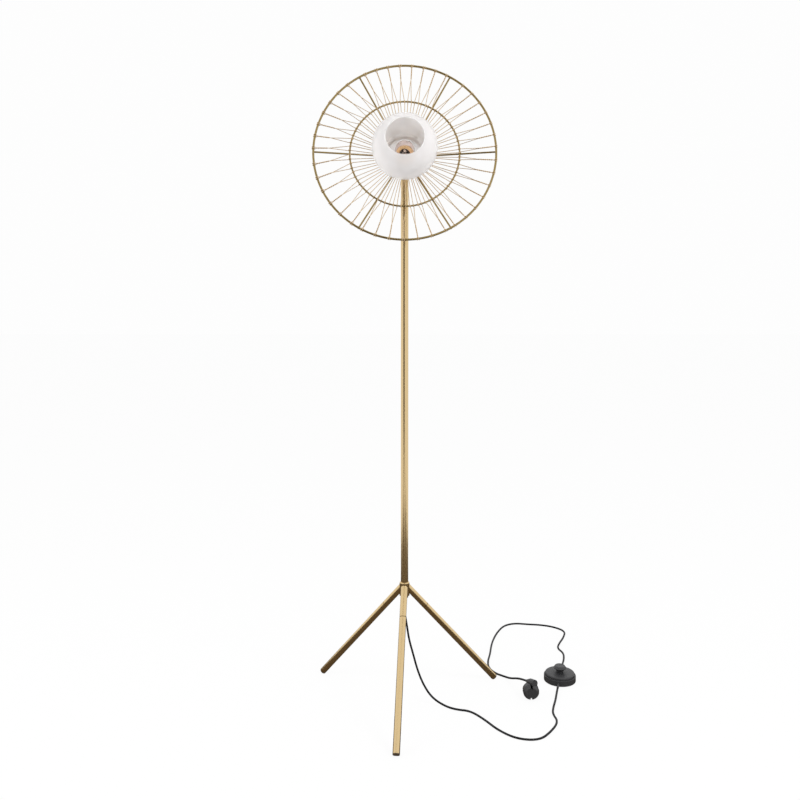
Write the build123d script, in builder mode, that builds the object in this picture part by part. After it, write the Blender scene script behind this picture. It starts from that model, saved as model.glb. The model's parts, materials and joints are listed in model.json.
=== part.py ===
from build123d import *
import math
import os

# Tripod floor lamp: a tiltable wire cage with an opal glass globe on a slim pole.
# Millimetres, +Z up, the head faces -Y. The origin is the middle of the footprint, at floor level.

# Fits and clearances
TOUCH = 0.05  # between brazed, seated or clamped pieces
RUNNING = 0.05  # radial clearance of a turning shaft
SLIDE_GAP = 0.3  # round the push button

# Tripod
LEG_D = 16.0
LEG_WALL = 1.2
LEG_REACH = 383.0  # from the virtual point on the pole's axis to the end of the foot
LEG_SLOPE = 48.0  # degrees below the horizontal
TRIPOD_TURN = -4.25  # degrees, the legs against the head
JOINT_REACH = 82.0  # from the virtual point to the joint of stub and leg
JOINT_RING_L = 1.6
JOINT_RING_D = 14.8
STUD_D = 10.0
STUD_L = 16.0  # into each tube
END_PLUG_L = 20.0  # the closed tube end that takes the stud
CAP_L = 3.0
CAP_SPIGOT_L = 10.0
CAP_ROUND = 1.0
CAP_FLAT = 0.6  # ground off where the foot meets the floor

# Hub and pole
HUB_D = 24.0
HUB_BELOW = 28.5  # hub below the virtual point
HUB_ABOVE = 4.5
HUB_CHAMFER = 2.0
POLE_D = 18.0
POLE_WALL = 1.5
POLE_SEAT = 10.0  # floor of the pole's seat above the hub's underside
CORD_BORE_D = 10.2
SET_SCREW_D = 4.0
SET_SCREW_DROP = 6.0  # first screw below the hub's top
SET_SCREW_STEP = 8.0
GLAND_D = 15.0
GLAND_L = 6.0
GLAND_SHANK_L = 7.0
SLEEVE_L = 16.0
SLEEVE_TOP_D = 10.0
SLEEVE_END_D = 6.4

# Tilting joint on the pole's top
PIVOT_Z = 1272.0
PIVOT_DROP = 34.0  # pivot below the head's axis
PIVOT_BEHIND = 9.5  # pivot behind the hub plate's back, along the head's axis
HEAD_TILT = 13.3  # degrees, the head's face turned up
LUG_W = 6.0
EYE_R = 8.0
FORK_W = 16.0
FORK_FLOOR_GAP = 0.4  # under the lug's eye
FORK_BODY_H = 8.0
FORK_SPIGOT_L = 22.0
PIVOT_D = 6.0
PIVOT_HEAD_D = 10.0
PIVOT_HEAD_H = 4.0
NUT_AF = 10.0
NUT_H = 5.0

# Cage: three rings on six spokes, laced with thin wire
OUTER_R = 210.0
OUTER_ROD_D = 5.0
INNER_R = 127.0
INNER_ROD_D = 4.0
CENTRE_R = 43.0
CENTRE_ROD_D = 3.0
SPOKE_D = 4.0
SPOKE_COUNT = 6
SPOKE_PAST = 1.5  # past the outer ring's centre line
SPOKE_GAP = 0.35  # between a spoke's inner end and the hub plate
CONE = 0.155  # depth per radius
WIRE_D = 1.2
WIRE_SIDES = 6
WRAP_SHIFT = 0.3  # degrees, how far a turn of wire round the outer ring moves along it
PAIR_START = 14.0  # the arms lie side by side from here in from the outer ring
PAIR_END = 36.0  # to here, where they part
ARM_SPREAD = 2.6  # degrees, each arm from their middle on the inner ring
ARM_LAG = 1.4  # degrees, the middle of the arms behind its even place
CENTRE_SPREAD = 1.5  # degrees, each arm from their middle on the centre ring
# For each sector between two spokes: degrees to its first wire, degrees from wire to wire, wires
LACING = ((3.3, 7.75, 7), (2.3, 7.7, 8), (9.3, 8.1, 7), (8.6, 9.3, 6), (2.6, 8.9, 7), (2.6, 8.6, 7))

# Light
HUB_PLATE_R = 21.0
HUB_PLATE_T = 6.0
GLASS_R = 75.0
GLASS_WALL = 3.0
GLASS_AHEAD = 54.1  # centre in front of the flat back
GLASS_MOUTH_R = 42.6
GLASS_KNUCKLE_R = 10.0  # between the round wall and the flat back
GLASS_HOLE_GAP = 0.6  # between the glass and the lampholder
GLASS_RIM_ROUND = 1.05
GLASS_SEAT = 0.3  # between the glass and the centre ring
GASKET_R = 19.0
HOLDER_R = 12.4
HOLDER_WALL = 2.0
HOLDER_MOUTH = 6.0  # front of the lampholder before the glass's inner face
HOLDER_L = 56.0
HOLDER_CHAMFER = 2.0
HOLDER_FLANGE_T = 3.0
HOLDER_FLANGE_R = 15.3
SHADE_RING_R = 23.3
SHADE_RING_L = 2.0
SHADE_RING_CHAMFER = 0.6
CUP_D = 34.0
CUP_L = 45.0
CUP_WALL = 1.5
CUP_ROUND = 5.0
BULB_R = 22.5
BULB_AHEAD = 31.1  # centre in front of the glass's flat back
BULB_L = 78.0
BULB_WALL = 1.0
BULB_CAP_L = 27.0
BULB_CAP_R = 6.9
BULB_TIP_L = 4.0
BULB_TIP_R = 3.5
STEM_FOOT_R = 6.3
STEM_R = 3.4
STEM_FLARE_L = 7.0
STEM_L = 27.0
BULB_NECK_R = 8.2
SHELL_R = 7.1  # thread shell of the lampholder

# Cord, foot switch and plug
CORD_D = 5.0
SWITCH_AT = (388.6, 158.9)
SWITCH_TURN = 15.5  # degrees, its cord axis turned from +Y towards +X
SWITCH_R = 40.3
SWITCH_RIM_T = 2.8
SWITCH_RIM_H = 14.5
SWITCH_FLOOR_T = 3.0
SWITCH_EDGE = 1.0
COVER_WALL = 2.0
COVER_H = 29.0
COVER_SHOULDER = 16.5
COVER_HAUNCH = (32.5, 24.0)  # radius and height halfway up the dome
DISH_R = 16.0
DISH_DEPTH = 4.0
BUTTON_STEM_R = 8.9
BUTTON_TOP_R = 13.0
BUTTON_TOP = 38.0
BUTTON_NECK = 29.0
BUTTON_EDGE = 1.0
BUTTON_DIP = 0.6  # of its face, in the middle
BUTTON_TRAVEL = 3.0
BUTTON_FOOT = 20.5
PLUNGER_R = 3.0
PLUNGER_END = 11.0
PLUNGER_SPARE = 1.0  # under the plunger when pressed
BLOCK = (26.0, 20.0, 14.0)
BLOCK_ROUND = 2.0
BOSS_R = 3.4
BOSS_RING_R = 27.0
BOSS_H = 21.0
BOSS_COUNT = 3
SWITCH_SCREW_D = 3.2
SWITCH_SCREW_HEAD_D = 6.0
SWITCH_SCREW_HEAD_H = 1.6
SWITCH_SCREW_L = 10.0
CORD_AT_SWITCH_Z = 6.5
SWITCH_SLEEVE_L = 20.0
SWITCH_SLEEVE_INSIDE = 7.0
SWITCH_SLEEVE_R = 3.1
SWITCH_SLEEVE_END_R = 2.8
PLUG_AT = (299.5, 55.7)
PLUG_R = 19.5
PLUG_FACE_L = 14.0
PLUG_BACK_L = 10.0
PLUG_BACK_R = 14.0
PLUG_SLOT_W = 5.6
PLUG_SLOT_DEPTH = 9.0
PLUG_GROOVE_R = 2.4
PIN_D = 4.8
PIN_L = 19.0
PIN_PITCH = 19.0
PIN_ROOT_L = 6.0
PIN_ROOT_D = 4.0
PIN_CHAMFER = 0.9
KNOB_R = 8.6
KNOB_AT = (303.5, 59.8, 39.4)
PLUG_EXIT = (291.5, 80.1, 35.0)
PLUG_EXIT_R = 3.2

# The cord's corners between what each stretch leaves and what it meets
LAMP_CORD = (
    (-9.3, 55.9, 218.0), (-3.5, 55.7, 184.0), (1.5, 54.7, 150.0),
    (11.5, 52.7, 115.0), (21.5, 49.7, 78.0), (35.5, 43.7, 44.0), (56.5, 31.7, 16.0),
    (87.5, 12.7, 4.5), (114.5, -0.3, 2.7), (146.5, -6.3, 2.7), (176.5, -47.3, 2.7),
    (202.5, -94.3, 2.7), (240.5, -131.3, 2.7), (289.5, -136.3, 2.7), (321.5, -99.3, 2.7),
    (345.5, -56.3, 2.7), (338.5, -19.3, 2.7), (346.5, 13.7, 2.7), (356.6, 43.4, 3.0),
    (366.6, 79.6, 6.5),
)
PLUG_CORD = (
    (410.6, 238.2, 6.5), (420.5, 270.7, 3.0), (427.5, 311.7, 2.7),
    (415.5, 341.7, 2.7), (426.5, 373.7, 2.7), (445.5, 411.7, 2.7), (460.5, 457.7, 2.7),
    (432.5, 489.7, 2.7), (394.5, 504.7, 2.7), (358.5, 508.7, 2.7), (320.5, 516.7, 2.7),
    (286.5, 499.7, 2.7), (262.5, 453.7, 2.7), (244.5, 401.7, 2.7), (233.5, 355.7, 2.7),
    (225.5, 305.7, 2.7), (214.5, 260.7, 2.7), (212.5, 221.7, 2.7), (226.5, 189.7, 2.7),
    (246.5, 172.7, 2.9), (260.5, 147.7, 9.0), (271.5, 118.7, 23.0), (280.5, 98.8, 31.0),
)

os.makedirs("parts", exist_ok=True)


def save(builder, name):
    """Labels a finished piece and writes it."""
    builder.part.label = name
    export_step(builder.part, f"parts/{name}.step")


# ---------------------------------------------------------------- derived places
leg_r = LEG_D / 2
slope = math.radians(LEG_SLOPE)
foot_end_z = math.cos(slope) * (leg_r - CAP_ROUND) + CAP_ROUND * (1 - math.sin(slope)) - CAP_FLAT
virtual_z = foot_end_z + LEG_REACH * math.sin(slope)
foot_r = LEG_REACH * math.cos(slope)
leg_names = ("front", "right", "left")
leg_azimuths = [TRIPOD_TURN - 90 + 120 * i for i in range(len(leg_names))]
foot_x = [foot_r * math.cos(math.radians(a)) for a in leg_azimuths]
foot_y = [foot_r * math.sin(math.radians(a)) for a in leg_azimuths]
pole_x = -(max(foot_x) + min(foot_x)) / 2
pole_y = -(max(foot_y) + min(foot_y)) / 2
hub_bottom = virtual_z - HUB_BELOW
hub_top = virtual_z + HUB_ABOVE
pole_bottom = hub_bottom + POLE_SEAT + TOUCH
pole_top = PIVOT_Z - EYE_R - FORK_FLOOR_GAP - FORK_BODY_H
pole_bore_r = POLE_D / 2 - POLE_WALL


def on_pole(z):
    """The horizontal plane at height z, centred on the pole's axis."""
    return Plane(origin=(pole_x, pole_y, z))


def along_leg(azimuth, reach):
    """The plane square to a leg's axis at a reach from the virtual point, facing the foot."""
    a = math.radians(azimuth)
    way = (math.cos(slope) * math.cos(a), math.cos(slope) * math.sin(a), -math.sin(slope))
    start = (pole_x, pole_y, virtual_z)
    return Plane(origin=[p + reach * d for p, d in zip(start, way)], z_dir=way)


lean = math.hypot(1, CONE)
spoke_r = SPOKE_D / 2


def spoke_w(radius):
    """Depth of a spoke's axis at a radius; the rings lie on the front of the spokes."""
    return -(OUTER_ROD_D / 2 + spoke_r + TOUCH) * lean - (OUTER_R - radius) * CONE


def ring_w(radius, rod_d):
    """Depth of a ring that rests on the front of the spokes."""
    return spoke_w(radius) + (rod_d / 2 + spoke_r + TOUCH) * lean


# depths along the head's axis, from the outer ring's plane
inner_w = ring_w(INNER_R, INNER_ROD_D)
centre_w = ring_w(CENTRE_R, CENTRE_ROD_D)
plate_front = spoke_w(HUB_PLATE_R) + HUB_PLATE_T / 2
plate_back = plate_front - HUB_PLATE_T
pivot_w = plate_back - PIVOT_BEHIND
glass_back = centre_w + CENTRE_ROD_D / 2 + GLASS_SEAT
glass_inner_back = glass_back + GLASS_WALL
glass_centre = glass_back + GLASS_AHEAD
holder_front = glass_inner_back + HOLDER_MOUTH
bulb_centre = glass_back + BULB_AHEAD
bulb_back = bulb_centre + BULB_R - BULB_L
neck_end = bulb_back + BULB_CAP_L

tilt = math.radians(HEAD_TILT)
face = (0.0, -math.cos(tilt), math.sin(tilt))  # the way the head faces
rise = (0.0, math.sin(tilt), math.cos(tilt))  # up, in the plane of the rings
pivot = (pole_x, pole_y, PIVOT_Z)
head_centre = tuple(p - pivot_w * f + PIVOT_DROP * r for p, f, r in zip(pivot, face, rise))


def head_plane(w):
    """The plane of the rings, moved w forwards along the head's axis."""
    return Plane(origin=[c + w * f for c, f in zip(head_centre, face)], x_dir=(1, 0, 0), z_dir=face)


def head_side():
    """The plane through the head's axis for turned profiles: x is the radius, y is forwards."""
    return Plane(origin=head_centre, x_dir=(1, 0, 0), z_dir=[-c for c in rise])


# ---------------------------------------------------------------- tripod
for name, azimuth in zip(leg_names, leg_azimuths):
    joint_end = JOINT_REACH + JOINT_RING_L
    cap_start = LEG_REACH - CAP_L

    with BuildPart() as stub:
        with BuildSketch(along_leg(azimuth, 0)):
            Circle(leg_r)
        extrude(amount=JOINT_REACH - TOUCH)
        with BuildSketch(along_leg(azimuth, JOINT_REACH)):
            Circle(STUD_D / 2 + TOUCH)
        extrude(amount=-END_PLUG_L, mode=Mode.SUBTRACT)
        with BuildSketch(on_pole(0)):
            Circle(HUB_D / 2 + TOUCH)
        extrude(amount=virtual_z + LEG_D, mode=Mode.SUBTRACT)
    save(stub, f"leg_stub_{name}")

    with BuildPart() as stud:
        with BuildSketch(along_leg(azimuth, JOINT_REACH)):
            Circle(JOINT_RING_D / 2)
        extrude(amount=JOINT_RING_L)
        with BuildSketch(along_leg(azimuth, JOINT_REACH - STUD_L)):
            Circle(STUD_D / 2)
        extrude(amount=JOINT_RING_L + 2 * STUD_L)
    save(stud, f"leg_stud_{name}")

    with BuildPart() as leg:
        with BuildSketch(along_leg(azimuth, joint_end + TOUCH)):
            Circle(leg_r)
        extrude(amount=cap_start - joint_end - 2 * TOUCH)
        with BuildSketch(along_leg(azimuth, joint_end)):
            Circle(STUD_D / 2 + TOUCH)
        extrude(amount=END_PLUG_L, mode=Mode.SUBTRACT)
        with BuildSketch(along_leg(azimuth, joint_end + END_PLUG_L)):
            Circle(leg_r - LEG_WALL)
        extrude(amount=LEG_REACH, mode=Mode.SUBTRACT)
    save(leg, f"leg_{name}")

    with BuildPart() as cap:
        with BuildSketch(along_leg(azimuth, cap_start)):
            Circle(leg_r)
        extrude(amount=CAP_L)
        leg_axis = Axis((pole_x, pole_y, virtual_z), along_leg(azimuth, 0).z_dir)
        fillet(cap.edges().sort_by(leg_axis)[-1], CAP_ROUND)
        with BuildSketch(along_leg(azimuth, cap_start - CAP_SPIGOT_L)):
            Circle(leg_r - LEG_WALL - TOUCH)
        extrude(amount=CAP_SPIGOT_L)
        split(bisect_by=Plane.XY, keep=Keep.TOP)
    save(cap, f"foot_cap_{name}")

# ---------------------------------------------------------------- hub and pole
set_screw_azimuth = leg_azimuths[0] + 180
set_screw_heights = [hub_top - SET_SCREW_DROP - SET_SCREW_STEP * i for i in range(2)]


def beside_pole(z, azimuth, radius):
    """The upright plane at a radius from the pole's axis, facing outwards."""
    a = math.radians(azimuth)
    out = (math.cos(a), math.sin(a), 0)
    return Plane(origin=(pole_x + radius * out[0], pole_y + radius * out[1], z), z_dir=out)


with BuildPart() as hub:
    with BuildSketch(on_pole(hub_bottom)):
        Circle(HUB_D / 2)
    extrude(amount=hub_top - hub_bottom)
    chamfer(hub.edges().group_by(Axis.Z)[-1], HUB_CHAMFER)
    with BuildSketch(on_pole(hub_bottom + POLE_SEAT)):
        Circle(POLE_D / 2 + TOUCH)
    extrude(amount=hub_top - hub_bottom, mode=Mode.SUBTRACT)
    with BuildSketch(on_pole(hub_bottom)):
        Circle(CORD_BORE_D / 2)
    extrude(amount=POLE_SEAT, mode=Mode.SUBTRACT)
    for height in set_screw_heights:
        with BuildSketch(beside_pole(height, set_screw_azimuth, 0)):
            Circle(SET_SCREW_D / 2 + TOUCH)
        extrude(amount=HUB_D, mode=Mode.SUBTRACT)
save(hub, "hub_sleeve")

with BuildPart() as set_screws:
    for height in set_screw_heights:
        with BuildSketch(beside_pole(height, set_screw_azimuth, POLE_D / 2 + TOUCH)):
            Circle(SET_SCREW_D / 2)
        extrude(amount=(HUB_D - POLE_D) / 2 - 2 * TOUCH)
save(set_screws, "hub_set_screws")

with BuildPart() as pole:
    with BuildSketch(on_pole(pole_bottom)):
        Circle(POLE_D / 2)
        Circle(pole_bore_r, mode=Mode.SUBTRACT)
    extrude(amount=pole_top - pole_bottom - TOUCH)
save(pole, "pole")

with BuildPart() as gland:
    with BuildSketch(on_pole(hub_bottom - GLAND_L)):
        RegularPolygon(GLAND_D / 2, 6, major_radius=False)
    extrude(amount=GLAND_L - TOUCH)
    with BuildSketch(on_pole(hub_bottom - GLAND_L)):
        Circle(CORD_BORE_D / 2 - TOUCH)
    extrude(amount=GLAND_L + GLAND_SHANK_L)
save(gland, "hub_gland")

sleeve_end = hub_bottom - GLAND_L - SLEEVE_L
with BuildPart() as hub_cord_sleeve:
    with BuildSketch(on_pole(hub_bottom - GLAND_L - TOUCH)):
        Circle(SLEEVE_TOP_D / 2)
    with BuildSketch(on_pole(sleeve_end)):
        Circle(SLEEVE_END_D / 2)
    loft()
save(hub_cord_sleeve, "hub_cord_sleeve")

# ---------------------------------------------------------------- tilting joint
fork_floor = PIVOT_Z - EYE_R - FORK_FLOOR_GAP
across = Plane(origin=pivot, x_dir=(0, 1, 0), z_dir=(1, 0, 0))  # square to the pivot's axis

with BuildPart() as fork:
    with BuildSketch(on_pole(pole_top)):
        Circle(POLE_D / 2)
    extrude(amount=PIVOT_Z + EYE_R - pole_top)
    # the ears, rounded round the pivot, above the round body
    with BuildSketch(across.offset(-POLE_D)):
        Circle(EYE_R)
        Rectangle(2 * EYE_R, PIVOT_Z - fork_floor, align=(Align.CENTER, Align.MAX))
        with Locations((0, fork_floor - PIVOT_Z)):
            Rectangle(2 * POLE_D, FORK_BODY_H, align=(Align.CENTER, Align.MAX))
    extrude(amount=2 * POLE_D, mode=Mode.INTERSECT)
    # flats for the screw's head and the nut
    with BuildSketch(on_pole(fork_floor)):
        with GridLocations(FORK_W + POLE_D, 0, 2, 1):
            Rectangle(POLE_D, POLE_D)
    extrude(amount=PIVOT_Z, mode=Mode.SUBTRACT)
    with BuildSketch(on_pole(pole_top - FORK_SPIGOT_L)):
        Circle(pole_bore_r - TOUCH)
    extrude(amount=FORK_SPIGOT_L)
    with BuildSketch(on_pole(fork_floor)):
        Rectangle(LUG_W + 4 * RUNNING, 2 * POLE_D)
    extrude(amount=PIVOT_Z, mode=Mode.SUBTRACT)
    with BuildSketch(across.offset(-FORK_W)):
        Circle(PIVOT_D / 2 + RUNNING)
    extrude(amount=2 * FORK_W, mode=Mode.SUBTRACT)
save(fork, "pole_fork")

with BuildPart() as screw:
    with BuildSketch(across.offset(-FORK_W / 2 - NUT_H - TOUCH)):
        Circle(PIVOT_D / 2)
    extrude(amount=FORK_W + NUT_H + 2 * TOUCH)
    with BuildSketch(across.offset(FORK_W / 2 + TOUCH)):
        Circle(PIVOT_HEAD_D / 2)
    extrude(amount=PIVOT_HEAD_H)
    with BuildSketch(across.offset(FORK_W / 2 + TOUCH + PIVOT_HEAD_H / 2)):
        RegularPolygon(PIVOT_D / 4, 6)
    extrude(amount=PIVOT_HEAD_H, mode=Mode.SUBTRACT)
save(screw, "pivot_screw")

with BuildPart() as nut:
    with BuildSketch(across.offset(-FORK_W / 2 - NUT_H - TOUCH)):
        RegularPolygon(NUT_AF / 2, 6, major_radius=False)
        Circle(PIVOT_D / 2 + TOUCH, mode=Mode.SUBTRACT)
    extrude(amount=NUT_H)
save(nut, "pivot_nut")

cup_r = CUP_D / 2
lug_reach = PIVOT_DROP - cup_r / 2  # from the pivot to inside the cup's outline
with BuildPart() as lug:
    with BuildSketch(Plane(origin=pivot, x_dir=face, z_dir=(1, 0, 0)).offset(-LUG_W / 2)):
        Circle(EYE_R)
        Rectangle(2 * EYE_R, lug_reach, align=(Align.CENTER, Align.MAX))
        Circle(PIVOT_D / 2 + RUNNING, mode=Mode.SUBTRACT)
    extrude(amount=LUG_W)
    with BuildSketch(head_plane(pivot_w - CUP_L)):
        Circle(cup_r + TOUCH)
    extrude(amount=2 * CUP_L, mode=Mode.SUBTRACT)
save(lug, "tilt_lug")

# ---------------------------------------------------------------- cage
rings = {
    "outer_ring": (OUTER_R, OUTER_ROD_D, 0.0),
    "inner_ring": (INNER_R, INNER_ROD_D, inner_w),
    "centre_ring": (CENTRE_R, CENTRE_ROD_D, centre_w),
}
for name, (radius, rod_d, depth) in rings.items():
    with BuildPart() as ring:
        with BuildSketch(head_side()):
            with Locations((radius, depth)):
                Circle(rod_d / 2)
        revolve(axis=Axis(head_centre, face))
    save(ring, name)


def in_head(angle, radius, w):
    """A point at an angle round the head's axis, anticlockwise from +X as seen from the front."""
    a = math.radians(angle)
    plane = head_plane(w)
    return plane.from_local_coords((radius * math.cos(a), radius * math.sin(a), 0))


spoke_start = HUB_PLATE_R + SPOKE_GAP
for i in range(SPOKE_COUNT):
    angle = 360 / SPOKE_COUNT * i
    inner_end = in_head(angle, spoke_start, spoke_w(spoke_start))
    outer_end = in_head(angle, OUTER_R + SPOKE_PAST, spoke_w(OUTER_R + SPOKE_PAST))
    with BuildPart() as spoke:
        with BuildSketch(Plane(origin=inner_end, z_dir=outer_end - inner_end)):
            Circle(spoke_r)
        extrude(amount=(outer_end - inner_end).length)
    save(spoke, f"spoke_{i + 1}")

# Each wire is one length: from the centre ring over the front of the inner ring, round the
# outer ring, and back behind the inner ring to the centre ring. Between the rings its two arms
# run side by side before they part.
wire_r = WIRE_D / 2
wrap_steps = 5
wrap_turn = 180 / (wrap_steps - 1)
wrap_r = (OUTER_ROD_D / 2 + wire_r + TOUCH) / math.cos(math.radians(wrap_turn / 2))
inner_off = INNER_ROD_D / 2 + wire_r + TOUCH
pair_off = wire_r + TOUCH
wire_end_r = CENTRE_R + CENTRE_ROD_D / 2 + 2 * TOUCH
sector = 360 / SPOKE_COUNT


def pair_w(inset):
    """Depth of the straight line between the outer and the inner ring, in from the outer ring."""
    return inner_w * inset / (OUTER_R - INNER_R)


def wire_arm(outer_angle, inner_angle, side):
    """One arm from the centre ring to the outer ring; side is 1 in front and -1 behind."""
    spread = -side * ARM_SPREAD
    return [
        in_head(inner_angle - side * CENTRE_SPREAD, wire_end_r, centre_w),
        in_head(inner_angle + spread, INNER_R, inner_w + side * inner_off),
        in_head(outer_angle, OUTER_R - PAIR_END, pair_w(PAIR_END) + side * pair_off),
        in_head(outer_angle, OUTER_R - PAIR_START, pair_w(PAIR_START) + side * pair_off),
    ]


def wire_path(outer_angle, inner_angle):
    """The corners of one wire, from its front arm round the outer ring to its back arm."""
    turn = []
    for step in range(wrap_steps):
        around = math.radians(90 - wrap_turn * step)
        angle = outer_angle + WRAP_SHIFT * (2 * step / (wrap_steps - 1) - 1)
        turn.append(in_head(angle, OUTER_R + wrap_r * math.cos(around), wrap_r * math.sin(around)))
    front = wire_arm(outer_angle, inner_angle, 1)
    back = wire_arm(outer_angle, inner_angle, -1)
    return [*front, *turn, *reversed(back)]


for i, (first, step, count) in enumerate(LACING):
    with BuildPart() as wires:
        for k in range(count):
            outer_angle = sector * i + first + step * k
            inner_angle = sector * i + sector / count * (k + 0.5) - ARM_LAG
            with BuildLine() as path:
                Polyline(*wire_path(outer_angle, inner_angle))
            with BuildSketch(Plane(origin=path.line @ 0, z_dir=path.line % 0)):
                RegularPolygon(wire_r, WIRE_SIDES)
            sweep(path=path.line, transition=Transition.RIGHT)
    save(wires, f"cage_wires_{i + 1}")

# ---------------------------------------------------------------- light
head_axis = Axis(head_centre, face)

with BuildPart() as hub_plate:
    with BuildSketch(head_plane(plate_back)):
        Circle(HUB_PLATE_R)
        Circle(HOLDER_R + TOUCH, mode=Mode.SUBTRACT)
    extrude(amount=HUB_PLATE_T)
save(hub_plate, "hub_plate")

with BuildPart() as gasket:
    with BuildSketch(head_plane(plate_front + TOUCH)):
        Circle(GASKET_R)
        Circle(HOLDER_R + TOUCH, mode=Mode.SUBTRACT)
    extrude(amount=glass_back - plate_front - 2 * TOUCH)
save(gasket, "glass_gasket")


def glass_wall(radius, back, knuckle, mouth_r, hole_r):
    """The closed half outline of a globe with a flat back, from its hole round to its mouth."""
    low = back - glass_centre
    # the knuckle's centre, inside both the flat back and the round wall
    knuckle_w = low + knuckle
    knuckle_x = math.sqrt((radius - knuckle) ** 2 - knuckle_w**2)
    lead = math.hypot(knuckle_x, knuckle_w)
    round_start = (radius * knuckle_x / lead, radius * knuckle_w / lead)
    spread = math.atan2(round_start[1], round_start[0])
    knuckle_mid = (math.radians(-90) + spread) / 2
    mouth_w = math.sqrt(radius**2 - mouth_r**2)
    top = math.atan2(mouth_w, mouth_r)
    middle = (spread + top) / 2
    lift = glass_centre
    return (
        (hole_r, low + lift),
        (knuckle_x, low + lift),
        (knuckle_x + knuckle * math.cos(knuckle_mid), knuckle_w + knuckle * math.sin(knuckle_mid) + lift),
        (round_start[0], round_start[1] + lift),
        (radius * math.cos(middle), radius * math.sin(middle) + lift),
        (mouth_r, mouth_w + lift),
    )


glass_hole_r = HOLDER_R + GLASS_HOLE_GAP
outside = glass_wall(GLASS_R, glass_back, GLASS_KNUCKLE_R, GLASS_MOUTH_R, glass_hole_r)
inside = glass_wall(
    GLASS_R - GLASS_WALL, glass_inner_back, GLASS_KNUCKLE_R - GLASS_WALL, GLASS_MOUTH_R, glass_hole_r
)
with BuildPart() as globe:
    with BuildSketch(head_side()):
        with BuildLine():
            Line(outside[0], outside[1])
            ThreePointArc(outside[1], outside[2], outside[3])
            ThreePointArc(outside[3], outside[4], outside[5])
            Line(outside[5], inside[5])
            ThreePointArc(inside[5], inside[4], inside[3])
            ThreePointArc(inside[3], inside[2], inside[1])
            Line(inside[1], inside[0])
            Line(inside[0], outside[0])
        make_face()
    revolve(axis=head_axis)
    mouth_edges = globe.edges().filter_by(GeomType.CIRCLE).sort_by(head_axis)[-2:]
    fillet(mouth_edges, GLASS_RIM_ROUND)
save(globe, "globe_glass")

with BuildPart() as holder:
    with BuildSketch(head_plane(holder_front - HOLDER_L)):
        Circle(HOLDER_R)
    extrude(amount=HOLDER_L)
    with BuildSketch(head_plane(plate_back - TOUCH - HOLDER_FLANGE_T)):
        Circle(HOLDER_FLANGE_R)
    extrude(amount=HOLDER_FLANGE_T)
    chamfer(holder.edges().group_by(head_axis)[0], HOLDER_CHAMFER)
    with BuildSketch(head_plane(bulb_back - TOUCH)):
        Circle(SHELL_R)
    extrude(amount=HOLDER_L, mode=Mode.SUBTRACT)
    with BuildSketch(head_plane(bulb_back + BULB_CAP_L - 1)):
        Circle(HOLDER_R - HOLDER_WALL)
    extrude(amount=HOLDER_L, mode=Mode.SUBTRACT)
save(holder, "lampholder")

with BuildPart() as shade_ring:
    with BuildSketch(head_plane(glass_inner_back + TOUCH)):
        Circle(SHADE_RING_R)
        Circle(HOLDER_R + TOUCH, mode=Mode.SUBTRACT)
    extrude(amount=SHADE_RING_L)
    rim = shade_ring.edges().group_by(head_axis)[-1].sort_by(SortBy.LENGTH)[-1]
    chamfer(rim, SHADE_RING_CHAMFER)
save(shade_ring, "shade_ring")

with BuildPart() as cup:
    with BuildSketch(head_plane(plate_back - TOUCH)):
        Circle(cup_r)
    extrude(amount=-CUP_L)
    fillet(cup.edges().group_by(head_axis)[0], CUP_ROUND)
    with BuildSketch(head_plane(plate_back - TOUCH)):
        Circle(cup_r - CUP_WALL)
    extrude(amount=-(CUP_L - CUP_WALL - CUP_ROUND), mode=Mode.SUBTRACT)
save(cup, "socket_cup")

def bulb_wall(radius, neck_r):
    """The half outline of a bulb's round glass down to its neck: nose, side, waist, neck, end."""
    bend = radius * math.sin(math.radians(45))
    waist = (bend, bulb_centre - bend)
    return (
        (0, bulb_centre + radius),
        (radius, bulb_centre),
        waist,
        (neck_r, waist[1] - (bend - neck_r)),
        (neck_r, neck_end),
    )


with BuildPart() as bulb_glass:
    with BuildSketch(head_side()):
        with BuildLine():
            nose, side, waist, neck, end = bulb_wall(BULB_R, BULB_NECK_R)
            ThreePointArc(nose, side, waist)
            Polyline(waist, neck, end)
            in_nose, in_side, in_waist, in_neck, in_end = bulb_wall(
                BULB_R - BULB_WALL, BULB_NECK_R - BULB_WALL
            )
            Line(end, in_end)
            Polyline(in_end, in_neck, in_waist)
            ThreePointArc(in_waist, in_side, in_nose)
            Line(in_nose, nose)
        make_face()
    revolve(axis=head_axis)
save(bulb_glass, "bulb_glass")

with BuildPart() as bulb_stem:
    stem_r = STEM_R
    stem_top = neck_end + STEM_L
    flare_top = neck_end + STEM_FLARE_L
    with BuildSketch(head_side()):
        with BuildLine():
            Polyline((0, stem_top), (0, neck_end), (STEM_FOOT_R, neck_end), (stem_r, flare_top))
            Line((stem_r, flare_top), (stem_r, stem_top - stem_r))
            RadiusArc((stem_r, stem_top - stem_r), (0, stem_top), -stem_r)
        make_face()
    revolve(axis=head_axis)
save(bulb_stem, "bulb_stem")

with BuildPart() as bulb_cap:
    with BuildSketch(head_plane(bulb_back + BULB_TIP_L)):
        Circle(BULB_CAP_R)
    extrude(amount=BULB_CAP_L - BULB_TIP_L - TOUCH)
    with BuildSketch(head_plane(bulb_back + BULB_TIP_L)):
        Circle(BULB_CAP_R - BULB_WALL)
    with BuildSketch(head_plane(bulb_back)):
        Circle(BULB_TIP_R)
    loft()
save(bulb_cap, "bulb_cap")

# ---------------------------------------------------------------- foot switch
switch_way = (math.sin(math.radians(SWITCH_TURN)), math.cos(math.radians(SWITCH_TURN)), 0)


def on_switch(z):
    """The horizontal plane at height z, centred on the switch."""
    return Plane(origin=(*SWITCH_AT, z))


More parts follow.
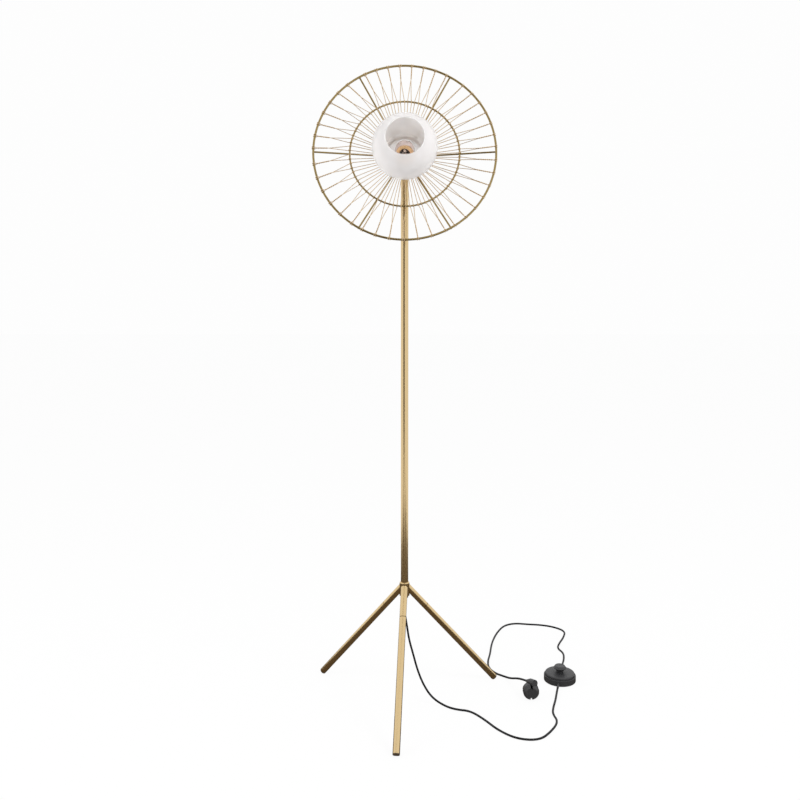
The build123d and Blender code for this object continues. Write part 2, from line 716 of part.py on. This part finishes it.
def switch_side():
    """The upright plane through the switch's axis for turned profiles."""
    return Plane(origin=(*SWITCH_AT, 0), x_dir=(1, 0, 0), z_dir=(0, -1, 0))


def switch_port(way):
    """The plane square to the cord where it passes the rim, facing outwards; way is 1 or -1."""
    out = [way * c for c in switch_way]
    return Plane(origin=(*SWITCH_AT, CORD_AT_SWITCH_Z), z_dir=out)


switch_axis = Axis((*SWITCH_AT, 0), (0, 0, 1))
cover_r = SWITCH_R - SWITCH_RIM_T - SLIDE_GAP / 2
boss_places = PolarLocations(BOSS_RING_R, BOSS_COUNT, start_angle=60 - SWITCH_TURN)

with BuildPart() as switch_base:
    with BuildSketch(on_switch(0)):
        Circle(SWITCH_R)
    extrude(amount=SWITCH_RIM_H)
    fillet(switch_base.edges().group_by(Axis.Z)[-1], SWITCH_EDGE)
    fillet(switch_base.edges().group_by(Axis.Z)[0], SWITCH_EDGE)
    with BuildSketch(on_switch(SWITCH_FLOOR_T)):
        Circle(SWITCH_R - SWITCH_RIM_T)
    extrude(amount=SWITCH_RIM_H, mode=Mode.SUBTRACT)
    for way in (-1, 1):
        with BuildSketch(switch_port(way)):
            Circle(SWITCH_SLEEVE_R + 2 * TOUCH)
        extrude(amount=2 * SWITCH_R, mode=Mode.SUBTRACT)
    with BuildSketch(on_switch(0)):
        with boss_places:
            Circle(SWITCH_SCREW_D / 2 + 2 * TOUCH)
    extrude(amount=SWITCH_FLOOR_T, mode=Mode.SUBTRACT)
    with BuildSketch(on_switch(0)):
        with boss_places:
            Circle(SWITCH_SCREW_HEAD_D / 2 + SLIDE_GAP)
    extrude(amount=SWITCH_SCREW_HEAD_H + TOUCH, mode=Mode.SUBTRACT)
save(switch_base, "switch_base")

hole_r = BUTTON_STEM_R + SLIDE_GAP
cover_foot = SWITCH_FLOOR_T + TOUCH


def cover_outline(inset):
    """The half outline of the dome with its dish, moved in by a wall's thickness."""
    slant = inset * math.sin(math.radians(45))
    return (
        (0, cover_foot),
        (cover_r - inset, cover_foot),
        (cover_r - inset, COVER_SHOULDER),
        (COVER_HAUNCH[0] - slant, COVER_HAUNCH[1] - slant),
        (DISH_R, COVER_H - inset),
        (hole_r, COVER_H - DISH_DEPTH - inset),
        (0, COVER_H - DISH_DEPTH - inset),
    )


with BuildPart() as switch_cover:
    for inset, mode in ((0, Mode.ADD), (COVER_WALL, Mode.SUBTRACT)):
        with BuildSketch(switch_side()):
            with BuildLine():
                foot, edge, shoulder, haunch, lip, dish, middle = cover_outline(inset)
                Polyline(middle, foot, edge, shoulder)
                ThreePointArc(shoulder, haunch, lip)
                Polyline(lip, dish, middle)
            make_face()
        revolve(axis=switch_axis, mode=mode)
    with BuildSketch(on_switch(0)):
        Circle(hole_r)
    extrude(amount=COVER_H, mode=Mode.SUBTRACT)
    with BuildSketch(on_switch(cover_foot)):
        with boss_places:
            Circle(BOSS_R)
            Circle(SWITCH_SCREW_D / 2 + 2 * TOUCH, mode=Mode.SUBTRACT)
    extrude(amount=BOSS_H)
    for way in (-1, 1):
        with BuildSketch(switch_port(way)):
            Circle(SWITCH_SLEEVE_R + 2 * TOUCH)
        extrude(amount=2 * SWITCH_R, mode=Mode.SUBTRACT)
save(switch_cover, "switch_cover")

with BuildPart() as button:
    with BuildSketch(switch_side()):
        with BuildLine():
            Polyline(
                (0, PLUNGER_END),
                (PLUNGER_R, PLUNGER_END),
                (PLUNGER_R, BUTTON_FOOT),
                (BUTTON_STEM_R, BUTTON_FOOT),
                (BUTTON_STEM_R, BUTTON_NECK),
                (BUTTON_TOP_R, BUTTON_TOP - BUTTON_EDGE),
                (BUTTON_TOP_R - BUTTON_EDGE, BUTTON_TOP),
                (0, BUTTON_TOP - BUTTON_DIP),
                close=True,
            )
        make_face()
    revolve(axis=switch_axis)
save(button, "foot_button")

with BuildPart() as block:
    with BuildSketch(Plane(origin=(*SWITCH_AT, SWITCH_FLOOR_T + TOUCH), x_dir=switch_way, z_dir=(0, 0, 1))):
        RectangleRounded(BLOCK[0], BLOCK[1], BLOCK_ROUND)
    extrude(amount=BLOCK[2])
    with BuildSketch(on_switch(PLUNGER_END - BUTTON_TRAVEL - PLUNGER_SPARE)):
        Circle(PLUNGER_R + RUNNING)
    extrude(amount=BLOCK[2], mode=Mode.SUBTRACT)
save(block, "switch_block")

with BuildPart() as switch_screws:
    with BuildSketch(on_switch(TOUCH)):
        with boss_places:
            Circle(SWITCH_SCREW_HEAD_D / 2)
    extrude(amount=SWITCH_SCREW_HEAD_H - TOUCH)
    with BuildSketch(on_switch(TOUCH)):
        with boss_places:
            Circle(SWITCH_SCREW_D / 2)
    extrude(amount=SWITCH_SCREW_L)
save(switch_screws, "switch_screws")

for name, way in (("cord_sleeve_in", -1), ("cord_sleeve_out", 1)):
    with BuildPart() as sleeve:
        with BuildSketch(switch_port(way).offset(SWITCH_R - SWITCH_SLEEVE_INSIDE)):
            Circle(SWITCH_SLEEVE_R)
        extrude(amount=SWITCH_SLEEVE_INSIDE)
        with BuildSketch(switch_port(way).offset(SWITCH_R)):
            Circle(SWITCH_SLEEVE_R)
        with BuildSketch(switch_port(way).offset(SWITCH_R + SWITCH_SLEEVE_L)):
            Circle(SWITCH_SLEEVE_END_R)
        loft()
    save(sleeve, name)

# ---------------------------------------------------------------- plug
plug_face_y = PLUG_AT[1] + (PLUG_FACE_L + PLUG_BACK_L) / 2


def on_plug(back):
    """The upright plane square to the pins, back from the pins' face, facing away from them."""
    return Plane(origin=(PLUG_AT[0], plug_face_y - back, PLUG_R), x_dir=(1, 0, 0), z_dir=(0, -1, 0))


knob_way = Vector(*PLUG_EXIT) - Vector(*KNOB_AT)
with BuildPart() as plug:
    with BuildSketch(on_plug(0)):
        Circle(PLUG_R)
    extrude(amount=PLUG_FACE_L)
    with BuildSketch(on_plug(PLUG_FACE_L)):
        Circle(PLUG_R)
    with BuildSketch(on_plug(PLUG_FACE_L + PLUG_BACK_L)):
        Circle(PLUG_BACK_R)
    loft()
    with BuildSketch(on_plug(0)):
        for way in (-1, 1):
            with Locations((0, way * PLUG_R)):
                Rectangle(PLUG_SLOT_W, 2 * PLUG_SLOT_DEPTH)
            with Locations((way * (PLUG_R + PLUG_GROOVE_R / 2), 0)):
                Circle(PLUG_GROOVE_R)
    extrude(amount=PLUG_FACE_L + PLUG_BACK_L, mode=Mode.SUBTRACT)
    with BuildSketch(Plane(origin=KNOB_AT, z_dir=knob_way).offset(-KNOB_R)):
        Circle(KNOB_R)
    extrude(amount=2 * KNOB_R)
    with BuildSketch(Plane(origin=KNOB_AT, z_dir=knob_way).offset(KNOB_R)):
        Circle(KNOB_R)
    with BuildSketch(Plane(origin=PLUG_EXIT, z_dir=knob_way)):
        Circle(PLUG_EXIT_R)
    loft()
    with BuildSketch(on_plug(0)):
        with GridLocations(PIN_PITCH, 0, 2, 1):
            Circle(PIN_ROOT_D / 2 + TOUCH)
    extrude(amount=PIN_ROOT_L, mode=Mode.SUBTRACT)
save(plug, "plug_body")

with BuildPart() as pins:
    with BuildSketch(on_plug(-TOUCH)):
        with GridLocations(PIN_PITCH, 0, 2, 1):
            Circle(PIN_D / 2)
    extrude(amount=-PIN_L)
    chamfer(pins.edges().group_by(Axis.Y)[-1], PIN_CHAMFER)
    with BuildSketch(on_plug(PIN_ROOT_L - TOUCH)):
        with GridLocations(PIN_PITCH, 0, 2, 1):
            Circle(PIN_ROOT_D / 2)
    extrude(amount=-PIN_ROOT_L)
save(pins, "plug_pins")

# ---------------------------------------------------------------- cord


def corner_radii(corners):
    """For each corner, 0.45 of its shorter run over the tangent of half its turn."""
    radii = []
    for before, at, after in zip(corners, corners[1:], corners[2:]):
        run_in = Vector(*at) - Vector(*before)
        run_out = Vector(*after) - Vector(*at)
        half_turn = math.radians(run_in.get_angle(run_out)) / 2
        radii.append(0.45 * min(run_in.length, run_out.length) / math.tan(half_turn))
    return radii


hub_exit = Vector(pole_x, pole_y, sleeve_end - TOUCH)
switch_exits = [switch_port(way).offset(SWITCH_R + SWITCH_SLEEVE_L + TOUCH).origin for way in (-1, 1)]
plug_exit = Vector(*PLUG_EXIT) + knob_way.normalized() * TOUCH
cord_routes = {
    "lamp_cord": (hub_exit, *LAMP_CORD, switch_exits[0]),
    "plug_cord": (switch_exits[1], *PLUG_CORD, plug_exit),
}
for name, corners in cord_routes.items():
    radii = corner_radii(corners)
    with BuildPart() as cord:
        with BuildLine() as route:
            FilletPolyline(*corners, radius=radii)
        with BuildSketch(Plane(origin=route.line @ 0, z_dir=route.line % 0)):
            Circle(CORD_D / 2)
        sweep(path=route.line)
    length = sum(edge.length for edge in route.edges())
    expected = math.pi * CORD_D**2 / 4 * length
    print(name, "length", round(length), "radii", [round(r) for r in radii])
    print(name, "volume over section times length", round(cord.part.volume / expected, 4))
    save(cord, name)
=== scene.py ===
import json
import math
import random

import bpy
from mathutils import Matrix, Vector


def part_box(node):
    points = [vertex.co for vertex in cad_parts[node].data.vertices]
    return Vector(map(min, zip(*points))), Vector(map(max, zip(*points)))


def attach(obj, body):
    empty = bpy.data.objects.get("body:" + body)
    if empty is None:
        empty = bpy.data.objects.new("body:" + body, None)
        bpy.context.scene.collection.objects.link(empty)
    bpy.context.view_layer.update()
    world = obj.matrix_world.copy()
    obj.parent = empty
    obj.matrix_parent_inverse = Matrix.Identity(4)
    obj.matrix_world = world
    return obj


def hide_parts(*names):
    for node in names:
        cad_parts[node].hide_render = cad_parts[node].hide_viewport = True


# Metres, +Z up, the head faces -Y.
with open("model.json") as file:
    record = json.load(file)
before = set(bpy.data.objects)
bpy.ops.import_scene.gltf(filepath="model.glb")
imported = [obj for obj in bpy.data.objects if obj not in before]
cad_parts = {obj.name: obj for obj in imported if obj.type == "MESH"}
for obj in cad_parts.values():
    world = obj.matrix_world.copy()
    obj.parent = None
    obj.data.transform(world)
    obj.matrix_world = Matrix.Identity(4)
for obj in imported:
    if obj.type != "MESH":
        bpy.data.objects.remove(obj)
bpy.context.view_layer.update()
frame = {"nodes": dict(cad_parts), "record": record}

# ---------------------------------------------------------------- camera
camera_data = bpy.data.cameras.new("camera")
camera_data.sensor_width = 36.0
camera_data.lens = 38.49
camera_data.shift_x = -0.0008
camera_data.shift_y = -0.075
camera = bpy.data.objects.new("camera", camera_data)
camera.location = (-0.0189, -1.9691, 1.0139)
camera.rotation_euler = (math.radians(86.188), 0.0, 0.0)
bpy.context.scene.collection.objects.link(camera)
bpy.context.scene.camera = camera
bpy.context.scene.view_settings.view_transform = "Standard"


# ---------------------------------------------------------------- materials
def new_material(name):
    """An empty node material and its output."""
    material = bpy.data.materials.new(name)
    material.use_nodes = True
    nodes = material.node_tree.nodes
    nodes.clear()
    return material, nodes, material.node_tree.links, nodes.new("ShaderNodeOutputMaterial")


def surface(
    name, colour, roughness, metallic=0.0, vary=0.06, grain=400.0, bump=0.0, rough_vary=0.05, **sockets
):
    """A shader with a slightly uneven colour, gloss and surface; sockets are set as they are."""
    material, nodes, links, output = new_material(name)
    shader = nodes.new("ShaderNodeBsdfPrincipled")
    shader.inputs["Metallic"].default_value = metallic
    for socket, value in sockets.items():
        shader.inputs[socket.replace("_", " ")].default_value = value
    place = nodes.new("ShaderNodeTexCoord")
    noise = nodes.new("ShaderNodeTexNoise")
    noise.inputs["Scale"].default_value = grain
    noise.inputs["Detail"].default_value = 3.0
    links.new(place.outputs["Object"], noise.inputs["Vector"])
    ramp = nodes.new("ShaderNodeMapRange")
    ramp.inputs["To Min"].default_value = max(0.0, roughness - rough_vary)
    ramp.inputs["To Max"].default_value = min(1.0, roughness + rough_vary)
    links.new(noise.outputs["Fac"], ramp.inputs["Value"])
    links.new(ramp.outputs["Result"], shader.inputs["Roughness"])
    blend = nodes.new("ShaderNodeMix")
    blend.data_type = "RGBA"
    blend.inputs["A"].default_value = (*[c * (1 - vary) for c in colour], 1.0)
    blend.inputs["B"].default_value = (*[min(1.0, c * (1 + vary)) for c in colour], 1.0)
    links.new(noise.outputs["Fac"], blend.inputs["Factor"])
    links.new(blend.outputs["Result"], shader.inputs["Base Color"])
    if bump:
        relief = nodes.new("ShaderNodeBump")
        relief.inputs["Strength"].default_value = bump
        relief.inputs["Distance"].default_value = 0.0004
        links.new(noise.outputs["Fac"], relief.inputs["Height"])
        links.new(relief.outputs["Normal"], shader.inputs["Normal"])
    links.new(shader.outputs["BSDF"], output.inputs["Surface"])
    return material


looks = {
    "brass_plated_steel": surface(
        "satin_brass", (0.72, 0.54, 0.29), 0.2, 1.0, vary=0.015, rough_vary=0.015, grain=14.0,
    ),
    "cage_rod": surface("rod_brass", (0.36, 0.265, 0.11), 0.24, 1.0, vary=0.02, rough_vary=0.02, grain=30.0),
    "cage_wire": surface("wire_brass", (0.78, 0.6, 0.38), 0.42, 1.0, vary=0.04, rough_vary=0.02, grain=60.0),
    "dark_joint": surface("dark_joint", (0.26, 0.18, 0.09), 0.35, 1.0, vary=0.04),
    "foot_rubber": surface("foot_rubber", (0.05, 0.03, 0.013), 0.32, vary=0.04),
    "black_nylon": surface("black_nylon", (0.012, 0.012, 0.012), 0.42, vary=0.04),
    "black_holder": surface("black_holder", (0.01, 0.009, 0.009), 0.35, vary=0.04),
    "silicone": surface("silicone", (0.75, 0.72, 0.68), 0.55),
    "opal_glass": surface(
        "opal_glass", (1.0, 0.958, 0.958), 0.12, vary=0.004, rough_vary=0.02, grain=40.0,
        Alpha=0.6, Subsurface_Weight=0.9, Subsurface_Radius=(1.0, 1.0, 1.0), Subsurface_Scale=0.02,
    ),
    "clear_bulb": surface(
        "clear_bulb", (1.0, 0.92, 0.9), 0.02, vary=0.01, rough_vary=0.01, grain=40.0,
        Transmission_Weight=1.0, IOR=1.2,
    ),
    "clear_stem": surface(
        "clear_stem", (0.99, 0.95, 0.9), 0.05, vary=0.01, rough_vary=0.01, grain=40.0,
        Transmission_Weight=1.0, IOR=1.3,
    ),
    "nickel": surface("nickel", (0.66, 0.64, 0.6), 0.22, 1.0, vary=0.03),
    "black_gloss": surface("black_gloss", (0.03, 0.03, 0.032), 0.42, vary=0.04, grain=900.0, bump=0.06),
    "grey_sleeve": surface("grey_sleeve", (0.05, 0.05, 0.052), 0.45),
    "cord_black": surface(
        "cord_black", (0.008, 0.008, 0.009), 0.5, vary=0.04, grain=700.0, Specular_IOR_Level=0.3,
    ),
}
for subpart in frame["record"]["subparts"]:
    piece = frame["nodes"][subpart["node"]]
    for material_slot in piece.material_slots:
        material_slot.material = looks[subpart["material_slot"]]


def new_curve(name, look, body, resolution):
    """An empty round curve that rides on a body; each point has its own radius in metres."""
    data = bpy.data.curves.new(name, "CURVE")
    data.dimensions = "3D"
    data.bevel_depth = 1.0
    data.bevel_resolution = resolution
    data.use_fill_caps = True
    data.materials.append(looks[look])
    piece = bpy.data.objects.new(name, data)
    bpy.context.scene.collection.objects.link(piece)
    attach(piece, body)
    return piece


def add_line(piece, kind, points, radius):
    """Adds one line of even thickness to a round curve."""
    line = piece.data.splines.new(kind)
    line.points.add(len(points) - 1)
    for point, at in zip(line.points, points):
        point.co = (*at, 1.0)
        point.radius = radius
    return line


# ---------------------------------------------------------------- foot switch
switch_low, switch_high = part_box("switch_cover")
SWITCH_X, SWITCH_Y = (switch_low[0] + switch_high[0]) / 2, (switch_low[1] + switch_high[1]) / 2
COVER_R = (switch_high[0] - switch_low[0]) / 2
COVER_WALL = 0.002
COVER_FOOT = 0.0099
COVER_SHOULDER = 0.0175
COVER_RIM = (0.034, 0.0206)
COVER_COLLAR = (0.0092, 0.022)
ROUND_STEPS = 6
TURN_STEPS = 96
BUTTON_OUTLINE = (
    (0.0, 0.011), (0.003, 0.011), (0.003, 0.0205), (0.0089, 0.0205), (0.0089, 0.0256), (0.0155, 0.0314),
    (0.016, 0.0321), (0.016, 0.0329), (0.0127, 0.0374), (0.012, 0.038), (0.0, 0.0374),
)


def cover_side(inset):
    """The cover's half outline from its foot to the hole of the button, moved in by a wall."""
    wall_r, rim_r, rim_h = COVER_R - inset, COVER_RIM[0] - inset, COVER_RIM[1] - inset
    points = [(wall_r, COVER_FOOT)]
    for step in range(ROUND_STEPS + 1):
        turn = math.radians(90 * step / ROUND_STEPS)
        points.append((
            rim_r + (wall_r - rim_r) * math.cos(turn),
            COVER_SHOULDER + (rim_h - COVER_SHOULDER) * math.sin(turn),
        ))
    return points + [(COVER_COLLAR[0], COVER_COLLAR[1] - inset)]


def turned(name, outline, look, body, node):
    """A closed outline of radii and heights, turned about the switch's upright axis."""
    vertices, rings, faces = [], [], []
    for radius, height in outline:
        count = TURN_STEPS if radius else 1
        rings.append([len(vertices) + k % count for k in range(TURN_STEPS)])
        for k in range(count):
            turn = 2 * math.pi * k / count
            vertices.append((SWITCH_X + radius * math.cos(turn), SWITCH_Y + radius * math.sin(turn), height))
    for lower, upper in zip(rings, rings[1:] + rings[:1]):
        for k in range(TURN_STEPS):
            after = (k + 1) % TURN_STEPS
            face = tuple(dict.fromkeys((lower[k], lower[after], upper[after], upper[k])))
            if len(face) > 2:
                faces.append(face)
    data = bpy.data.meshes.new(name)
    data.from_pydata(vertices, [], faces)
    data.polygons.foreach_set("use_smooth", [True] * len(data.polygons))
    data.set_sharp_from_angle(angle=math.radians(25.0))
    data.materials.append(looks[look])
    piece = bpy.data.objects.new(name, data)
    bpy.context.scene.collection.objects.link(piece)
    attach(piece, body)
    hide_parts(node)
    return piece


cover_outline = cover_side(0.0) + cover_side(COVER_WALL)[::-1]
cover = turned("moulded_cover", cover_outline, "black_gloss", "stand", "switch_cover")
button = turned("moulded_button", BUTTON_OUTLINE, "black_gloss", "button", "foot_button")

# ---------------------------------------------------------------- cords
CORD_D = 0.005
HUB_EXIT = (-0.009496, 0.055669, 0.238415)
LAMP_CORD = (
    (-0.0093, 0.0559, 0.218), (-0.0035, 0.0557, 0.184), (0.0015, 0.0547, 0.15),
    (0.0115, 0.0527, 0.115), (0.0215, 0.0497, 0.078), (0.0355, 0.0437, 0.044), (0.0565, 0.0317, 0.016),
    (0.0875, 0.0127, 0.0045), (0.1145, -0.0003, 0.0027), (0.1465, -0.0063, 0.0027),
    (0.1765, -0.0473, 0.0027), (0.2025, -0.0943, 0.0027), (0.2405, -0.1313, 0.0027),
    (0.2895, -0.1363, 0.0027), (0.3215, -0.0993, 0.0027), (0.3455, -0.0563, 0.0027),
    (0.3385, -0.0193, 0.0027), (0.3465, 0.0137, 0.0027), (0.3566, 0.0434, 0.003),
    (0.3666, 0.0796, 0.0065), (0.37247, 0.10074, 0.0065),
)
SWITCH_EXIT = (0.40473, 0.21706, 0.0065)
PLUG_CORD = (
    (0.4106, 0.2382, 0.0065), (0.4205, 0.2707, 0.003), (0.4275, 0.3117, 0.0027),
    (0.4155, 0.3417, 0.0027), (0.4265, 0.3737, 0.0027), (0.4455, 0.4117, 0.0027),
    (0.4605, 0.4577, 0.0027), (0.4325, 0.4897, 0.0027), (0.3945, 0.5047, 0.0027),
    (0.3585, 0.5087, 0.0027), (0.3205, 0.5167, 0.0027), (0.2865, 0.4997, 0.0027),
    (0.2625, 0.4537, 0.0027), (0.2445, 0.4017, 0.0027), (0.2335, 0.3557, 0.0027),
    (0.2255, 0.3057, 0.0027), (0.2145, 0.2607, 0.0027), (0.2125, 0.2217, 0.0027),
    (0.2265, 0.1897, 0.0027), (0.2465, 0.1727, 0.0029), (0.2605, 0.1477, 0.009),
    (0.2715, 0.1187, 0.023), (0.2805, 0.0988, 0.031), (0.2915, 0.0801, 0.035),
)


def lay_cord(name, points, node):
    """A free cord along one smooth line, in the place of its CAD tube."""
    piece = new_curve(name, "cord_black", "stand", resolution=4)
    piece.data.resolution_u = 12
    line = add_line(piece, "NURBS", points, CORD_D / 2)
    line.order_u = 3
    line.use_endpoint_u = True
    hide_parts(node)
    return piece


lamp_flex = lay_cord("lamp_flex", (HUB_EXIT, *LAMP_CORD), "lamp_cord")
plug_flex = lay_cord("plug_flex", (SWITCH_EXIT, *PLUG_CORD), "plug_cord")

# ---------------------------------------------------------------- laced wire
HEAD_TILT = math.radians(13.3)
PIVOT = Vector((-0.009496, 0.055669, 1.272))
PIVOT_BACK = 0.0464
PIVOT_DROP = 0.034
SIDE = Vector((1.0, 0.0, 0.0))
FACE = Vector((0.0, -math.cos(HEAD_TILT), math.sin(HEAD_TILT)))
RISE = Vector((0.0, math.sin(HEAD_TILT), math.cos(HEAD_TILT)))
HEAD_CENTRE = PIVOT + PIVOT_BACK * FACE + PIVOT_DROP * RISE
OUTER_R, OUTER_ROD = 0.210, 0.0025
INNER_R, INNER_ROD = 0.127, 0.002
CENTRE_R, CENTRE_ROD = 0.043, 0.0015
INNER_W, CENTRE_W = -0.01337, -0.0269
WIRE_R = 0.0008
LACING = ((3.3, 7.75, 7), (2.3, 7.7, 8), (9.3, 8.1, 7), (8.6, 9.3, 6), (2.6, 8.9, 7), (2.6, 8.6, 7))
ARM_SPREAD = (1.9, 2.6)
ARM_LAG = 1.4
CENTRE_SPREAD = 1.5
PAIR_END = (0.37, 0.5)
PAIR_START = 0.08
PAIR_TURNS = 3.5
KNOT_TURNS = 2
KNOT_DRIFT = 0.0062
WRAP_DRIFT = 0.0012
STRAND_STEPS = 8
hand = random.Random(11)


def in_head(angle, radius, w):
    """A point in the head's frame: degrees round its axis, radius, and depth forwards."""
    a = math.radians(angle)
    return HEAD_CENTRE + radius * math.cos(a) * SIDE + radius * math.sin(a) * RISE + w * FACE


def round_rod(angle, ring_r, ring_w, rod_r, start, end, drift):
    """Points of a wire that turns round a ring's rod, from one section angle to another.

    A section angle of 0 is outwards, 90 in front; drift is how far it moves along the ring.
    """
    off = rod_r + WIRE_R
    steps = max(4, round(abs(end - start) / 30))
    points = []
    for step in range(steps + 1):
        share = step / steps
        section = math.radians(start + (end - start) * share)
        moved = angle + math.degrees(drift * (share - 0.5) / ring_r)
        points.append(in_head(moved, ring_r + off * math.cos(section), ring_w + off * math.sin(section)))
    return points


def pair_points(outer_angle, inner_angle, side, end):
    """One strand of the twisted pair, from where the arms part out to the outer ring."""
    knot = in_head(outer_angle, OUTER_R, 0.0)
    middle = in_head(inner_angle, INNER_R, INNER_W)
    across = (middle - knot).cross(FACE).normalized()
    steps = round(PAIR_TURNS * STRAND_STEPS)
    points = []
    for step in range(steps + 1):
        share = step / steps
        phase = math.radians(90 * side) + 2 * math.pi * PAIR_TURNS * (1 - share)
        along = knot + (middle - knot) * (end + (PAIR_START - end) * share)
        points.append(along + WIRE_R * (math.sin(phase) * FACE + math.cos(phase) * across))
    return points


def arm_points(outer_angle, inner_angle, side, spread, end):
    """One arm from the centre ring to the outer ring; side is 1 in front and -1 behind."""
    centre_angle = inner_angle - side * CENTRE_SPREAD
    ring_angle = inner_angle - side * spread
    at_centre = round_rod(
        centre_angle, CENTRE_R, CENTRE_W, CENTRE_ROD, 180 - 90 * side, 180 - 450 * side, WRAP_DRIFT
    )
    at_inner = round_rod(ring_angle, INNER_R, INNER_W, INNER_ROD, 90 * side, -270 * side, WRAP_DRIFT)
    return at_centre + at_inner + pair_points(outer_angle, inner_angle, side, end)


def wire_points(outer_angle, inner_angle):
    """One wire, from its front arm round the outer ring to its back arm."""
    knot_end = -90 - 360 * (KNOT_TURNS - 1)
    knot = round_rod(outer_angle, OUTER_R, 0.0, OUTER_ROD, 90, knot_end, KNOT_DRIFT)
    spread, end = hand.uniform(*ARM_SPREAD), hand.uniform(*PAIR_END)
    front = arm_points(outer_angle, inner_angle, 1, spread, end)
    back = arm_points(outer_angle, inner_angle, -1, spread, end)
    return front + knot + back[::-1]


SECTOR = 60.0
for i, (first, step, count) in enumerate(LACING):
    wires = new_curve(f"laced_wire_{i + 1}", "cage_wire", "head", resolution=1)
    for k in range(count):
        outer_angle = SECTOR * i + first + step * k
        inner_angle = SECTOR * i + SECTOR / count * (k + 0.5) - ARM_LAG
        add_line(wires, "POLY", wire_points(outer_angle, inner_angle), WIRE_R)
    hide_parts(f"cage_wires_{i + 1}")


# ---------------------------------------------------------------- stage and light
def seen_ray(nodes, links):
    """1 for rays from the camera, a mirror or clear glass, else 0."""
    path = nodes.new("ShaderNodeLightPath")
    total = path.outputs["Is Camera Ray"]
    for ray in ("Is Glossy Ray", "Is Transmission Ray"):
        add = nodes.new("ShaderNodeMath")
        add.operation = "MAXIMUM"
        links.new(total, add.inputs[0])
        links.new(path.outputs[ray], add.inputs[1])
        total = add.outputs[0]
    return total


world = bpy.data.worlds.new("world")
bpy.context.scene.world = world
world.use_nodes = True
wn, wl = world.node_tree.nodes, world.node_tree.links
wn.clear()
world_output = wn.new("ShaderNodeOutputWorld")
room = wn.new("ShaderNodeBackground")
room.inputs["Color"].default_value = (1.0, 1.0, 1.0, 1.0)
room.inputs["Strength"].default_value = 0.8
shown = wn.new("ShaderNodeBackground")
shown.inputs["Color"].default_value = (1.0, 1.0, 1.0, 1.0)
shown.inputs["Strength"].default_value = 0.985
world_mix = wn.new("ShaderNodeMixShader")
wl.new(seen_ray(wn, wl), world_mix.inputs["Fac"])
wl.new(room.outputs["Background"], world_mix.inputs[1])
wl.new(shown.outputs["Background"], world_mix.inputs[2])
wl.new(world_mix.outputs["Shader"], world_output.inputs["Surface"])


def panel(name, size_x, size_y, location, rotation, material):
    """A flat sheet that belongs to the stage."""
    data = bpy.data.meshes.new(name)
    x, y = size_x / 2, size_y / 2
    data.from_pydata([(-x, -y, 0), (x, -y, 0), (x, y, 0), (-x, y, 0)], [], [(0, 1, 2, 3)])
    data.materials.append(material)
    piece = bpy.data.objects.new(name, data)
    piece.location = location
    piece.rotation_euler = rotation
    bpy.context.scene.collection.objects.link(piece)
    return piece


floor_material, fn, fl, floor_output = new_material("floor_white")
floor_diffuse = fn.new("ShaderNodeBsdfDiffuse")
floor_diffuse.inputs["Color"].default_value = (0.86, 0.86, 0.86, 1.0)
floor_glow = fn.new("ShaderNodeEmission")
floor_glow.inputs["Strength"].default_value = 1.0
floor_share = fn.new("ShaderNodeMath")
floor_share.operation = "MULTIPLY"
floor_share.inputs[1].default_value = 0.93
floor_mix = fn.new("ShaderNodeMixShader")
fl.new(seen_ray(fn, fl), floor_share.inputs[0])
fl.new(floor_share.outputs[0], floor_mix.inputs["Fac"])
fl.new(floor_diffuse.outputs["BSDF"], floor_mix.inputs[1])
fl.new(floor_glow.outputs["Emission"], floor_mix.inputs[2])
fl.new(floor_mix.outputs["Shader"], floor_output.inputs["Surface"])
panel("floor", 30.0, 30.0, (0.0, 0.0, 0.0), (0.0, 0.0, 0.0), floor_material)


def painted_reflection_card(name, size_x, size_y, location, rotation, colour):
    """A card that only the gloss of the object shows: a painted reflection on the metal and glass, hidden
    from the camera, diffuse light and shadows.
    """
    material, card_nodes, card_links, card_output = new_material(name)
    card = card_nodes.new("ShaderNodeBsdfDiffuse")
    card.inputs["Color"].default_value = (*colour, 1.0)
    card_links.new(card.outputs["BSDF"], card_output.inputs["Surface"])
    piece = panel(name, size_x, size_y, location, rotation, material)
    piece.visible_camera = False
    piece.visible_diffuse = False
    piece.visible_transmission = False
    piece.visible_volume_scatter = False
    piece.visible_shadow = False


# Painted dark reflection: a near-black card in front, seen only in gloss, draws the dark lines down the pole
# and legs.
painted_reflection_card("painted_dark_reflection_front", 2.1, 2.9, (-1.0, -2.6, 1.45), (math.radians(90.0), 0.0, 0.0), (0.035, 0.03, 0.025))
# Painted dark reflection: a dark card on the floor, seen only in gloss, darkens the lower sides of the legs
# in place of the white floor.
painted_reflection_card("painted_dark_reflection_low", 2.6, 2.4, (0.0, -0.3, 0.0004), (0.0, 0.0, 0.0), (0.11, 0.085, 0.06))
# Painted highlight: a pale card overhead, seen only in gloss, lightens the upper faces of the legs.
painted_reflection_card("painted_highlight_top", 1.6, 1.4, (0.0, -0.8, 3.0), (math.radians(180.0), 0.0, 0.0), (0.62, 0.58, 0.52))


def lamp(name, location, target, size, size_y, energy):
    """A soft rectangular lamp that faces a point."""
    data = bpy.data.lights.new(name, "AREA")
    data.shape = "RECTANGLE"
    data.size = size
    data.size_y = size_y
    data.energy = energy
    piece = bpy.data.objects.new(name, data)
    piece.location = location
    piece.rotation_euler = (Vector(target) - Vector(location)).to_track_quat("-Z", "Y").to_euler()
    piece.visible_glossy = False
    bpy.context.scene.collection.objects.link(piece)


lamp("key_lamp", (1.8, -1.6, 2.6), (0.0, 0.0, 0.9), 1.2, 1.2, 42.0)
lamp("fill_lamp", (-2.2, -1.0, 1.9), (0.0, 0.0, 0.9), 1.2, 1.6, 22.0)

bpy.context.view_layer.update()
